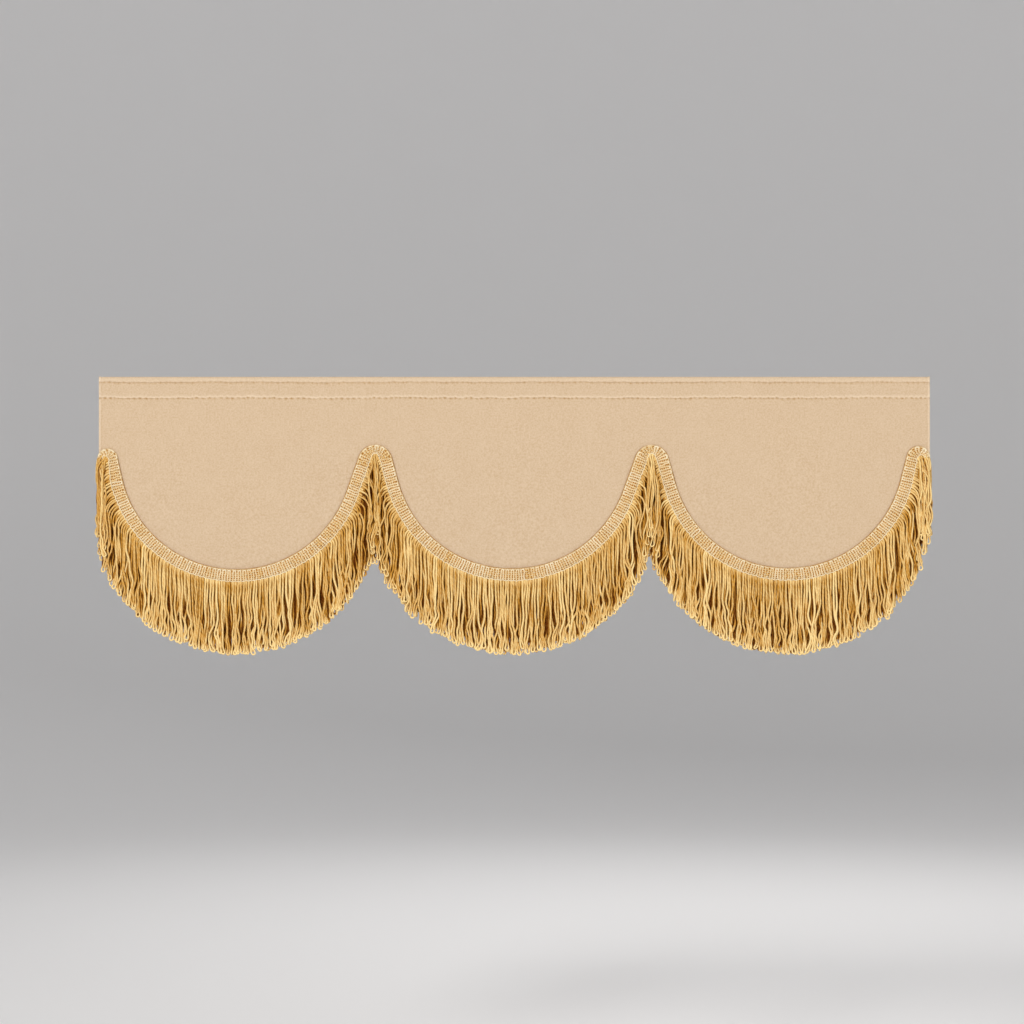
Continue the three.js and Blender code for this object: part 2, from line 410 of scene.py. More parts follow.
class Finish:
    """A material that is put together node by node."""

    def __init__(self, name):
        self.material = bpy.data.materials.new(name)
        self.material.use_nodes = True
        self.tree = self.material.node_tree
        self.tree.nodes.clear()

    def node(self, kind, output=0, sockets=None, **settings):
        """Adds a node of a type: its settings first, then its sockets' values or links. Gives
        the named or numbered output."""
        node = self.tree.nodes.new("ShaderNode" + kind)
        for key, value in settings.items():
            setattr(node, key, value)
        for key, value in (sockets or {}).items():
            if isinstance(value, Maths):
                self.tree.links.new(value.socket, node.inputs[key])
            else:
                node.inputs[key].default_value = value
        return Maths(self, node.outputs[output]) if node.outputs else None

    def space(self):
        """Place in the object's own space, in metres."""
        return self.node("TexCoord", "Object")

    def own_map(self):
        """Place in the piece's own map, and its two numbers."""
        place = self.node("UVMap", uv_map="place")
        return place, *(self.node("SeparateXYZ", axis, {0: place}) for axis in (0, 1))

    def tone(self):
        """The tone of each point, with the painted shade and painted highlights that it carries."""
        return self.node("Attribute", "Fac", attribute_name="tone")

    def mix(self, factor, low, high):
        """Mixes two colours."""
        return self.node("Mix", 2, {0: factor, 6: low, 7: high}, data_type="RGBA")

    def noise(self, place, scale, detail):
        """Cloudy noise between 0 and 1, with about as many features to the metre as scale."""
        return self.node("TexNoise", 0, {"Vector": place, "Scale": scale, "Detail": detail})

    def step(self, value, low, high):
        """0 below low, 1 above high, and soft between them."""
        sockets = {"Value": value, "From Min": low, "From Max": high}
        return self.node("MapRange", 0, sockets, interpolation_type="SMOOTHSTEP")

    def sine(self, value):
        """Sine of a number in radians."""
        return self.node("Math", 0, {0: value}, operation="SINE")

    def bump(self, height, distance):
        """A normal that follows a height, with a distance in metres."""
        return self.node("Bump", 0, {"Strength": 0.4, "Distance": distance, "Height": height})

    def toned(self, light, settings):
        """A colour from a number: deep at 0, body at a half and pale at 1."""
        deep, body, pale = (painted(getattr(settings, key)) for key in ("deep", "body", "pale"))
        return self.mix(light * 2.0 - 1.0, self.mix(light * 2.0, deep, body), pale)

    def end(self, sockets):
        """Ends the material with its surface shader."""
        self.node("OutputMaterial", 0, {"Surface": self.node("BsdfPrincipled", 0, sockets)})
        return self.material


def painted(values, share=1.0):
    """A colour socket's four numbers from a property's three, darker or lighter by a share."""
    return (*(min(1.0, value * share) for value in values), 1.0)


# Cloth panel


class CurtainClothSettings(bpy.types.PropertyGroup):
    thickness: FloatProperty(
        name="Thickness", description="Thickness of the cloth", default=0.0016, unit="LENGTH")
    column_step: FloatProperty(
        name="Column step", description="Width of a face of the cloth", default=0.0019, unit="LENGTH")
    pucker: FloatProperty(
        name="Pucker", description="How deep the seams draw the cloth in", default=0.0005, unit="LENGTH")
    deep: FloatVectorProperty(
        name="Seam shade", description="Colour of the cloth down in a seam", default=(0.42, 0.22, 0.06),
        subtype="COLOR")
    body: FloatVectorProperty(
        name="Nap", description="Colour of the cloth's nap", default=(0.66, 0.495, 0.33),
        subtype="COLOR")
    # The pale nap is the lightest nap, and also the colour of the painted highlights along the hem
    pale: FloatVectorProperty(
        name="Pale nap", description="Colour of the nap where it lies flat",
        default=(0.86, 0.7, 0.52), subtype="COLOR")


class Seam:
    """A row of stitches along the hem: its needle holes along the width, in millimetres, and how
    tight each stitch is."""

    def __init__(self, random, height):
        steps = 1 + random.uniform(-0.3, 0.3, int(PANEL_WIDTH / HEM_STITCH))
        holes = running_total(steps)
        self.holes = (holes / holes[-1] - 0.5) * (PANEL_WIDTH - 2 * SEAM_END)
        self.tight = random.uniform(0.5, 1.0, len(holes))
        self.wander = random.uniform(-0.6, 0.6, len(holes))
        self.middle = height

    def height(self, x):
        """Height of the seam, which wanders a little from hole to hole."""
        return self.middle + 0.3 * np.sin(x / 31 + self.middle) + np.interp(x, self.holes, self.wander)

    def pull(self, x):
        """How hard the thread pulls: 1 at a tight hole and 0 half way between two holes."""
        count = np.interp(x, self.holes, np.arange(len(self.holes)))
        return (0.5 + 0.5 * np.cos(2 * np.pi * count)) * np.interp(x, self.holes, self.tight)


def hem_seams():
    """The hem's two seams."""
    random = np.random.default_rng(11)
    return Seam(random, UPPER_SEAM), Seam(random, LOWER_SEAM)


def front_relief(x, z, seams):
    """How far the front of the cloth stands out, as a share of the pucker, and its tone. The top
    edge is a soft roll, the upper seam a groove with deeper holes, and the lower seam a ridge over a
    row of ticks. The hem is full between them, and each side edge is a narrow bead. The tone holds
    painted highlights on the roll, the lip and the ridge, and painted shade in the groove, the ticks
    and the line beside each bead. The bead is lighter partly as a heat-cut edge and partly as a
    painted highlight."""
    upper, lower = (seam.height(x) for seam in seams)
    upper_pull, lower_pull = (seam.pull(x) for seam in seams)
    side = PANEL_WIDTH / 2 - np.abs(x)
    roll = bell(z, -3.6, 2.6)
    groove = (0.15 + 1.05 * upper_pull) * bell(z, upper - 0.3 * upper_pull, 1.3)
    lip = (1.0 - 0.5 * upper_pull) * bell(z, upper + 1.5 + 0.6 * upper_pull, 0.9)
    full = smooth(z, lower, lower + 6) * smooth(-z, -upper, 3 - upper)
    ridge = (1.0 - 0.3 * lower_pull) * bell(z, lower + 0.7 + 1.1 * lower_pull, 1.1)
    ticks = (0.1 + 1.2 * lower_pull) * bell(z, lower - 0.4, 1.1)
    bead = smooth(-side, -3.0, -2.2)
    line = bell(side, 3.4, 0.7)
    relief = 0.6 * roll - groove + 0.3 * lip + 0.55 * full + 0.8 * ridge - 0.9 * ticks
    relief = relief + 0.6 * bead - 0.4 * line
    # Painted highlights on roll, lip and ridge, and painted shade in groove and ticks
    tone = 0.5 + 0.12 * roll - 0.28 * groove + 0.14 * lip + 0.38 * ridge - 0.38 * ticks
    # The bead is partly a lighter heat-cut edge and partly a painted highlight, and the line beside it
    # painted shade
    tone = tone + 0.2 * bead - 0.08 * line
    return relief, tone


def back_relief(x, z, seams):
    """How far the turned hem stands out at the back, and its tone: two rows of grooves, with painted
    shade in them.
    """
    groove = sum((0.4 + 0.7 * seam.pull(x)) * bell(z, seam.height(x), 1.1) for seam in seams)
    return -groove, 0.5 - 0.15 * groove


def fold_rows(lowest):
    """Middle line of the cloth's section and its outward normal, in millimetres, as rows by
    columns: up the turned hem, round the fold in a half circle, and down the front to the lower
    edge. Gives depth, height, the normal's two parts, and whether a row is on the front."""
    radius = -CLOTH_MIDDLE
    seams = [UPPER_SEAM, LOWER_SEAM]
    top = FOLD_HEIGHT - 0.6
    below_hem = -HEM_DEPTH - 3
    turned = spaced(-HEM_DEPTH + 0.4, top, coarse=5, fine=1.3, places=seams, width=1.6)
    angle = np.linspace(0, np.pi, 7)
    dense = spaced(below_hem, top, coarse=2.4, fine=0.55, places=seams, width=1.7)[::-1]
    share = np.linspace(0, 1, 15)[1:, None]
    ones = np.ones_like(lowest)
    depth = np.concatenate([
        np.full(len(turned), radius),
        radius * np.cos(angle),
        np.full(len(dense) + len(share), -radius),
    ])[:, None] * ones
    height = np.concatenate([
        np.outer(turned, ones),
        np.outer(FOLD_HEIGHT + radius * np.sin(angle), ones),
        np.outer(dense, ones),
        below_hem + (lowest - below_hem) * share,
    ])
    out_y = depth / radius
    out_z = np.zeros_like(height)
    out_z[len(turned):len(turned) + len(angle)] = np.sin(angle)[:, None]
    on_front = np.arange(len(height)) >= len(turned) + len(angle)
    return depth, height, out_y, out_z, on_front


def cloth_finish(settings):
    """Short matted nap: fine mottle, a faint cloud of light and dark where it lies both ways,
    and a few small brown specks. The tone of each point lightens and darkens it, and carries the
    painted highlights and painted shade along the hem's seams and edges."""
    finish = Finish("suede_cloth")
    place = finish.space()
    cloud = finish.noise(place, 40.0, 2.0)
    mottle = finish.noise(place, 260.0, 2.0)
    grain = finish.noise(place, 520.0, 2.0)
    light = finish.tone() + (cloud - 0.5) * 0.08 + (mottle - 0.5) * 0.14 + (grain - 0.5) * 0.4
    speck = finish.node("TexVoronoi", "Distance", {"Vector": place, "Scale": 22.0})
    chosen = finish.step(finish.noise(place, 14.0, 0.0), 0.6, 0.62)
    spot = (1.0 - finish.step(speck, 0.006, 0.014)) * chosen * 0.4
    return finish.end({
        "Base Color": finish.mix(spot, finish.toned(light, settings), painted(settings.deep)),
        "Roughness": 0.95,
        "Specular IOR Level": 0.2,
        "Sheen Weight": 0.2,
        "Sheen Roughness": 0.5,
        "Normal": finish.bump(mottle * 0.5 + grain * 0.5, 0.0004),
    })


def with_sides(rows, offset, share):
    """Rows with one more column at each side: a share of the last one plus an offset."""
    ends = rows[:, [0, -1]] * share + offset
    return np.concatenate([ends[:, :1], rows, ends[:, 1:]], axis=1)


def add_ring(surface, points, tones, rows):
    """Adds the closed ring of rows. Each end of the width is a strip of faces between the
    outside and the inside."""
    around, columns, _ = points.shape
    quads = turned_over(grid_faces(around, columns, ring=True))
    outside = np.arange(rows - 1)
    inside = 2 * rows - outside
    left = np.stack([outside, inside, inside - 1, outside + 1], axis=-1) * columns
    right = left[:, ::-1] + columns - 1
    low = np.array([rows - 1, rows + 1, rows]) * columns
    hem = np.array([0, 2 * rows + 1, 2 * rows]) * columns
    ends = np.stack([low, low[::-1] + columns - 1, hem, hem[::-1] + columns - 1])
    surface.add(points, tones, np.concatenate([quads, left, right]), ends)


class CURTAIN_OT_panel(bpy.types.Operator):
    """Cloth panel with its turned hem. Its surface is a closed ring of rows round the section,
    carried along the width: the middle line of the cloth plus and minus half its thickness
    along the normal, with the seams' relief added on the outside"""

    bl_idname = "curtain.panel"
    bl_label = "Cloth panel"

    def execute(self, context):
        settings = context.scene.curtain_cloth
        random = np.random.default_rng(7)
        half = settings.thickness / MM / 2
        side = PANEL_WIDTH / 2
        edge = side - 0.35
        step = settings.column_step / MM
        x = spaced(-edge, edge, step, fine=0.8, places=[-side, side, *PEAKS], width=8)
        depth, height, out_y, out_z, on_front = fold_rows(cloth_lower_edge(x))
        wide = np.broadcast_to(x, height.shape)
        seams = hem_seams()
        front, front_tone = front_relief(wide, height, seams)
        back, back_tone = back_relief(wide, height, seams)
        turned = ~on_front[:, None] & (out_y > 0.9)
        relief = np.where(turned, back, front) * settings.pucker / MM
        tone = np.where(turned, back_tone, front_tone)
        uneven = 0.10 * drift(random, wide, height, 26, 21) + 0.16 * drift(random, wide, height, 95, 70)
        relief = relief + uneven * smooth(-height, 2, 12)

        outer = np.stack([depth + out_y * (half + relief), height + out_z * (half + relief)])
        inner = np.stack([depth - out_y * half, height - out_z * half])[:, ::-1]
        hem_end = np.stack([depth[:1], height[:1] - half / 2])
        low_end = np.stack([depth[-1:], height[-1:] - half / 2])
        ring = np.concatenate([outer, low_end, inner, hem_end], axis=1)
        middle = np.concatenate([depth, low_end[0], depth[::-1], hem_end[0]])
        flat = np.full_like(height, 0.5)
        tones = np.concatenate([tone, flat[:1], flat, flat[:1]])

        # The two side edges are rounded: one more column on each, thinner and further out
        depths = with_sides(ring[0], middle[:, [0, -1]] * 0.45, 0.55)
        heights = with_sides(ring[1], 0, 1)
        columns = np.concatenate([[-side], x, [side]])
        points = in_space(np.broadcast_to(columns, depths.shape), depths, heights)
        surface = Surface()
        add_ring(surface, points, with_sides(tones, 0, 1), len(height))
        seat(surface.make("cloth_panel", cloth_finish(settings)), "panel")
        return {"FINISHED"}


# Sewing thread


class CurtainThreadSettings(bpy.types.PropertyGroup):
    thickness: FloatProperty(
        name="Thickness", description="Thickness of the thread", default=0.0005, unit="LENGTH")
    colour: FloatVectorProperty(
        name="Thread", description="Colour of the thread", default=(0.6, 0.42, 0.25), subtype="COLOR")


def thread_finish(settings):
    """Smooth twisted thread: slanted ridges round it, from its own map."""
    finish = Finish("sewing_thread")
    _, turn, along = finish.own_map()
    ridge = finish.sine(turn * (2 * math.pi) + along * 9000.0)
    cloud = finish.noise(finish.space(), 400.0, 1.0)
    tint = finish.mix(cloud, painted(settings.colour, 0.85), painted(settings.colour, 1.1))
    return finish.end({"Base Color": tint, "Roughness": 0.6, "Normal": finish.bump(ridge, 0.0001)})


def stitch_paths(random, x, z, surface_depth, outward):
    """Centre points of a seam's stitches, in metres. Each runs from hole to hole and is a low
    arch: it starts and ends in the cloth, and a sine lifts it between them."""
    t = np.linspace(0, 1, 6)
    inset = 0.06 + 0.88 * t
    along_x = x[:-1, None] + (x[1:] - x[:-1])[:, None] * inset
    along_z = z[:-1, None] + (z[1:] - z[:-1])[:, None] * inset
    slant = random.uniform(0.1, 0.4, (len(x) - 1, 1))
    along_z = along_z + slant * (0.5 - t)
    lift = 0.6 * np.sin(np.pi * t) ** 0.7 - 0.45
    return in_space(along_x, surface_depth + outward * lift, along_z)


class CURTAIN_OT_stitches(bpy.types.Operator):
    """Stitches: two seams along the hem, on its front and back, and one that holds the heading"""

    bl_idname = "curtain.stitches"
    bl_label = "Stitches"

    def execute(self, context):
        settings = context.scene.curtain_thread
        random = np.random.default_rng(13)
        radius = settings.thickness / 2
        paths = []
        for seam in hem_seams():
            z = seam.height(seam.holes)
            for depth, outward in HEM_FACES:
                paths.append(stitch_paths(random, seam.holes, z, depth, outward))
        length = np.linspace(4, HEADING_LENGTH - 4, int(HEADING_LENGTH / HEADING_STITCH))
        x, z, _, _ = on_heading(length, 0.3)
        paths.append(stitch_paths(random, x, z, -0.15, 1))
        surface = Surface()
        for path in paths:
            add_yarn(surface, path, UPWARD, radius, 4, 0.5)
        seat(surface.make("seam_stitches", thread_finish(settings)))
        return {"FINISHED"}


# Heading


class CurtainHeadingSettings(bpy.types.PropertyGroup):
    rib_step: FloatProperty(
        name="Rib step", description="Distance from rib to rib", default=0.0031, unit="LENGTH")
    rib_thickness: FloatProperty(
        name="Rib thickness", description="Thickness of a rib's yarn", default=0.0022, unit="LENGTH")
    chain_thickness: FloatProperty(
        name="Chain thickness", description="Thickness of the thread that runs along the heading",
        default=0.001, unit="LENGTH")
    deep: FloatVectorProperty(
        name="Shade", description="Colour of the yarn's sides", default=(0.43, 0.155, 0.006),
        subtype="COLOR")
    body: FloatVectorProperty(
        name="Yarn", description="Colour of the heading's yarn", default=(0.76, 0.5, 0.185),
        subtype="COLOR")
    pale: FloatVectorProperty(
        name="Light", description="Colour of the palest yarn", default=(0.93, 0.81, 0.58),
        subtype="COLOR")


# Shares of the heading's width where the ribs begin and turn, and where the chains run
RIB_LOW = 0.985
RIB_TURN = 0.13
CHAIN_SHARES = (0.27, 0.45, 0.63, 0.81)


def yarn_finish(name, settings, twist):
    """Soft shiny yarn: two plies that wind round it and fine fibres along them, from its own
    map. The tone of each point, which carries painted shade and painted highlights, and a slow
    cloud make it darker or lighter. The plies also darken the colour a little in the grooves
    between them: painted shade."""
    finish = Finish(name)
    place, turn, along = finish.own_map()
    ply = finish.sine(turn * (4 * math.pi) + along * (2 * math.pi / twist))
    stretched = finish.node("Mapping", 0, {"Vector": place, "Scale": (9.0, 500.0, 1.0)})
    fibre = finish.noise(stretched, 1.0, 2.0)
    cloud = finish.noise(finish.space(), 45.0, 2.0)
    # The ply term paints shade into the grooves between the plies
    light = finish.tone() + (cloud - 0.5) * 0.25 + (fibre - 0.5) * 0.3 + ply * 0.05
    return finish.end({
        "Base Color": finish.toned(light, settings),
        "Roughness": 0.5,
        "Specular IOR Level": 0.06,
        "Normal": finish.bump(ply * 0.5 + fibre * 0.35, 0.00018),
    })


def rib_count(settings):
    """Number of ribs, which is even, because each loop of yarn has two legs."""
    return 2 * int(HEADING_LENGTH / (settings.rib_step / MM) / 2)


def add_ribs(surface, settings, random, ribs, step):
    """Pairs of ribs. A pair runs up the heading, turns in a half circle and runs down again.
    Its depth is a cosine of the share, turned round from rib to rib."""
    spacing = CHAIN_SHARES[1] - CHAIN_SHARES[0]
    up = np.linspace(RIB_LOW, RIB_TURN, 11)
    turn = np.linspace(0, np.pi, 5)[1:-1]
    share = np.concatenate([up, RIB_TURN - 0.07 * np.sin(turn), up[::-1]])
    side = np.concatenate([np.full(len(up), -0.5), -0.5 * np.cos(turn), np.full(len(up), 0.5)])
    middle = (np.arange(ribs // 2) * 2 + 1)[:, None] * step
    place = middle + 3.0 * side
    loose = 0.6 * drift(random, place, share * 14, 2.5, 4)
    x, z, _, _ = on_heading(middle + side * step + loose, share)
    over = np.cos(np.pi * (share - CHAIN_SHARES[0]) / spacing) * np.sign(side)
    depth = YARN_DEPTH + 0.25 * over + random.uniform(-0.15, 0.15, (ribs // 2, 1))
    path = in_space(x, depth, z)
    tight_x, tight_z, _, _ = on_heading(middle - step / 2, share)
    wide_x, wide_z, _, _ = on_heading(middle + step / 2, share)
    room = np.hypot(wide_x - tight_x, wide_z - tight_z) / step
    radius = settings.rib_thickness / 2 * np.clip(room, 0.5, 1.2)
    tone = 0.78 + random.normal(0, 0.08, (ribs // 2, 1)) + 0.2 * bell(share, 0.08, 0.07)
    add_yarn(surface, path, FACING, radius, 6, tone)


def add_chains(surface, settings, random, ribs, step):
    """Threads along the heading. The depth of each is a cosine with two ribs to the wave,
    turned round from thread to thread. Each one sinks in and comes out again on the way, and its
    tone is lower where it sinks in: painted shade."""
    length = np.linspace(1.0, HEADING_LENGTH - 1.0, ribs * 4)
    for index, share in enumerate(CHAIN_SHARES):
        beat = np.cos(np.pi * (length / step - 0.5) + np.pi * index)
        sink = drift(random, length, 0 * length, 9, 1)
        x, z, _, _ = on_heading(length, share + 0.02 * np.sin(np.pi * length / step))
        path = in_space(x, YARN_DEPTH - 0.4 - 0.7 * beat + 0.8 * sink, z)[None]
        radius = settings.chain_thickness / 2 * (1 + 0.15 * beat)
        # Painted shade where the thread sinks in
        add_yarn(surface, path, FACING, radius, 5, 0.8 + 0.2 * beat)


def add_cords(surface, step):
    """The edges: two threads that wind round each other on the upper edge, and a chain of
    small beads on the lower, whose thickness follows a cosine."""
    random = np.random.default_rng(29)
    length = np.linspace(0.2, HEADING_LENGTH - 0.2, int(HEADING_LENGTH / 0.85))
    upper = 0.035 + 0.022 * drift(random, length, 0 * length, 5, 1)
    lower = 0.955 + 0.03 * np.sin(np.pi * length / step)
    lower = lower + 0.02 * drift(random, length, 0 * length, 4, 1)
    for start in (0, np.pi):
        angle = 2 * np.pi * length / 6.5 + start
        x, z, nx, nz = on_heading(length, upper)
        x = x + 0.36 * np.cos(angle) * nx
        z = z + 0.36 * np.cos(angle) * nz
        path = in_space(x, YARN_DEPTH - 0.15 + 0.36 * np.sin(angle), z)[None]
        add_yarn(surface, path, FACING, 0.45 * MM, 5, 0.85)
    x, z, _, _ = on_heading(length, lower)
    radius = 0.7 * MM * (1 + 0.2 * np.cos(2 * np.pi * length / step))
    add_yarn(surface, in_space(x, YARN_DEPTH - 1.2, z)[None], FACING, radius, 5, 1.0)


def add_shade_tape(surface):
    """A flat dark tape along the heading's middle, behind the ribs: painted shade in the holes between
    them. Its edges, just past the cords, are thin painted shadow lines.
    """
    length = np.linspace(0.6, HEADING_LENGTH - 0.6, int(HEADING_LENGTH / 2))
    rows = []
    for share, depth in ((-0.05, -0.15), (1.02, -0.15), (1.02, 0.25), (-0.05, 0.25)):
        x, z, _, _ = on_heading(length, share)
        rows.append(in_space(x, YARN_DEPTH + depth, z))
    columns = len(length)
    quads = grid_faces(4, columns, ring=True)
    start = np.arange(4)[None] * columns
    quads = np.concatenate([quads, start, start[:, ::-1] + columns - 1])
    # Low tone: a sheet of painted shade
    surface.add(np.stack(rows), 0.12, quads)


class CURTAIN_OT_heading(bpy.types.Operator):
    """Knitted heading: ribs across it, which turn in pairs at its upper edge, threads along it
    that come out over one rib and sink into the next, a twisted cord on its upper edge and a
    chain on its lower"""

    bl_idname = "curtain.heading"
    bl_label = "Heading"

    def execute(self, context):
        settings = context.scene.curtain_heading
        random = np.random.default_rng(23)
        ribs = rib_count(settings)
        step = HEADING_LENGTH / ribs
        material = yarn_finish("heading_yarn", settings, twist=0.003)
        surface = Surface()
        add_ribs(surface, settings, random, ribs, step)
        seat(surface.make("heading_ribs", material), "heading")
        surface = Surface()
        add_chains(surface, settings, random, ribs, step)
        add_cords(surface, step)
        add_shade_tape(surface)
        seat(surface.make("heading_chains", material), "heading")
        return {"FINISHED"}


# Fringe


class CurtainFringeSettings(bpy.types.PropertyGroup):
    thickness: FloatProperty(
        name="Yarn thickness", description="Thickness of the fringe's yarn", default=0.0027,
        unit="LENGTH")
    bend: FloatProperty(
        name="Bend", description="Radius on which a loop bends down where the heading is steep",
        default=0.0167, unit="LENGTH")
    shortest: FloatProperty(
        name="Shortest loop", description="Least length of a loop", default=0.087, unit="LENGTH")
    longest: FloatProperty(
        name="Longest loop", description="Greatest length of a loop", default=0.095, unit="LENGTH")
    eye: FloatProperty(
        name="Eye", description="Radius of the eye at a loop's end", default=0.0021, unit="LENGTH")
    deep: FloatVectorProperty(
        name="Shade", description="Colour of the yarn's sides and of the bundle's inside",
        default=(0.13, 0.028, 0.001), subtype="COLOR")
    body: FloatVectorProperty(
        name="Yarn", description="Colour of the fringe's yarn", default=(0.62, 0.3, 0.042),
        subtype="COLOR")
    pale: FloatVectorProperty(
        name="Light", description="Colour of the palest yarn", default=(1.0, 0.76, 0.35),
        subtype="COLOR")


# Three rows of loops, from front to back. Shift is how far along the heading each is moved, as a
# share of a loop, and aside how much further on it hangs. Root and depth are the depths of its
# middle at the heading and below. Pile is how far its loops lie on each other where they crowd,
# and full how far from the fringe's middle their painted shade reaches. Loose is how freely they
# hang, and wound how far their legs wind round each other. Short is how much shorter they are,
# thick how much thicker, and rings and sides are those of their yarn.
LoopRow = namedtuple(
    "LoopRow", "seed shift aside root depth pile full loose wound short thick rings sides")
FRINGE_ROWS = [
    LoopRow(
        seed=5, shift=0.0, aside=0.0, root=-3.6, depth=-4.6, pile=1.7, full=3.2, loose=1.0,
        wound=1.0, short=1.0, thick=1.0, rings=34, sides=8),
    LoopRow(
        seed=6, shift=0.25, aside=0.25, root=-2.9, depth=-3.0, pile=0.0, full=2.1, loose=0.9,
        wound=0.6, short=2.0, thick=1.0, rings=26, sides=6),
    LoopRow(
        seed=8, shift=0.0, aside=0.0, root=-2.2, depth=-1.4, pile=0.0, full=3.2, loose=0.15,
        wound=0.0, short=4.0, thick=1.4, rings=18, sides=5),
]

# Depth of the fringe's middle, where the painted shade is deepest, how far its loops stay inside
# its full reach, how near to an end peak a loop is one at the end, and half the width of a loop
# above its eye
FRINGE_MIDDLE = -2.9
EDGE_ROOM = 6.5
END_ZONE = 12
NECK = 1.12

# Where loops come out of the heading: a share of its width, and three more places at each end
LOOP_SHARE = 0.95
END_START = 0.3
END_SHARES = np.array([0.25, 0.55, 0.8])


def nearest_wall(x, towards):
    """How far a loop can go the way it bends: to the middle of the next peak, or to just inside
    the fringe's full reach."""
    gap = (np.array(PEAKS[1:-1]) - x) * towards
    gap = np.min(np.where(gap >= 0, gap, np.inf), axis=1, keepdims=True)
    return np.minimum(gap, np.maximum(FRINGE_REACH - EDGE_ROOM - x * towards, 0))


def circle_drop(x):
    """Height at which the loops at x end: on the circle of the bay that reaches lowest there."""
    lowest = np.max([TIP_RADIUS**2 - (x - bay) ** 2 for bay in BAYS], axis=0)
    return TIP_CENTRE_Z - np.sqrt(np.clip(lowest, 0, None))


def leave_heading(random, row, count, step):
    """Where the loops of a row leave the heading, with their angle there from straight down, and
    which of them are at an end. Three more at each end come out of the heading's turn."""
    start = (np.arange(count) + 0.5 + row.shift) * step
    start = start + row.loose * random.uniform(-0.7, 0.7, count)
    start = np.concatenate([[END_START] * 3, start, [HEADING_LENGTH - END_START] * 3])[:, None]
    share = np.concatenate([END_SHARES, np.full(count, LOOP_SHARE), END_SHARES[::-1]])[:, None]
    x, z, nx, nz = on_heading(start, share)
    angle = np.arctan2(nx, -nz)
    at_end = np.abs(x) > PEAKS[-1] - END_ZONE
    angle = np.where(at_end, np.sign(x) * np.clip(angle * np.sign(x), 0.8, 1.3), angle)
    return start, x, z, angle, at_end


def layers_below(x, step):
    """How many layers of loops lie on each other: their step at the heading over the step of
    their ends, as a mean over seven loops."""
    apart = np.maximum(np.abs(np.gradient(x, axis=0)), 0.5)
    layers = np.pad(np.clip(step / apart, 1, 3.6)[:, 0], 3, mode="edge")
    return np.convolve(layers, np.full(7, 1 / 7), mode="valid")[:, None]


def ring_places(length, eye, rings):
    """Lengths along each loop of its rings: closer at both ends, and in equal turns round the
    eye."""
    share = np.linspace(0, 1, rings)
    share = share - 0.5 * np.sin(2 * np.pi * share) / (2 * np.pi)
    turns = np.cos(np.linspace(np.pi / 2, 0, 5)[1:])
    down = length - eye
    return np.concatenate([share * down, down + eye * turns], axis=1)


def hanging_line(x, z, towards, lean, bend, t):
    """Line that leaves its root at a lean, bends down on an arc and falls straight. Gives x and z
    at each length t, and the direction across the line there."""
    turned = np.maximum(lean - t / bend, 0)
    x = x + towards * bend * (np.cos(turned) - np.cos(lean))
    z = z - bend * (np.sin(lean) - np.sin(turned)) - np.maximum(t - bend * lean, 0)
    return x, z, np.cos(towards * turned), np.sin(towards * turned)


def sway_at(noise, t, crowd, at_end):
    """How far each loop strays to the side: far and slowly on the way down, and in short bends
    across the lower half."""
    reach = smooth(t, -6, 75) * (1 - crowd) + 1.5 * smooth(t, -4, 30) * crowd
    sway = 2.8 * noise(5.5, 23) * reach * smooth(t, 0, 12) * np.where(at_end, 0.75, 1)
    sway = sway + 1.8 * noise(4.2, 13) * smooth(t, 30, 70)
    sway = sway + 1.5 * noise(3.6, 9) * smooth(t, 42, 68)
    return sway + 0.9 * noise(33, 50) * smooth(t, 5, 50)


def round_eye(apart, eye, to_tip):
    """How far the legs stand from their middle line. They swell out near the tip, and close there
    in a half circle."""
    swell = apart + (eye - NECK) * bell(to_tip, eye, 4.2)
    cap = eye * np.sqrt(np.clip(1 - (1 - to_tip / eye) ** 2, 0, 1))
    return np.where(to_tip < eye, cap, swell)


def painted_shade_inside(row, layers, at_end, t, to_tip, x, z):
    """Depth of the bundle's middle in metres, and how far from it the painted shade on the yarns
    reaches. The painted shade is narrower at the heading, at the tips and at the curtain's sides."""
    heap = 0.816 * (layers - 1) * smooth(t, 3, 20) * smooth(to_tip, 2, 12)
    heap = heap * np.where(at_end, 0.5, 1)
    share = 1 - 0.55 * (1 - smooth(t, 0, 10)) - 0.9 * (1 - smooth(to_tip, 2, 12))
    share = np.maximum(share, 0.1)
    share = share * (1 - 0.85 * smooth(np.abs(x), FRINGE_REACH - 12, FRINGE_REACH - 5))
    return (FRINGE_MIDDLE - heap + wave_at(x, z)) * MM, (row.full + heap) * share * MM


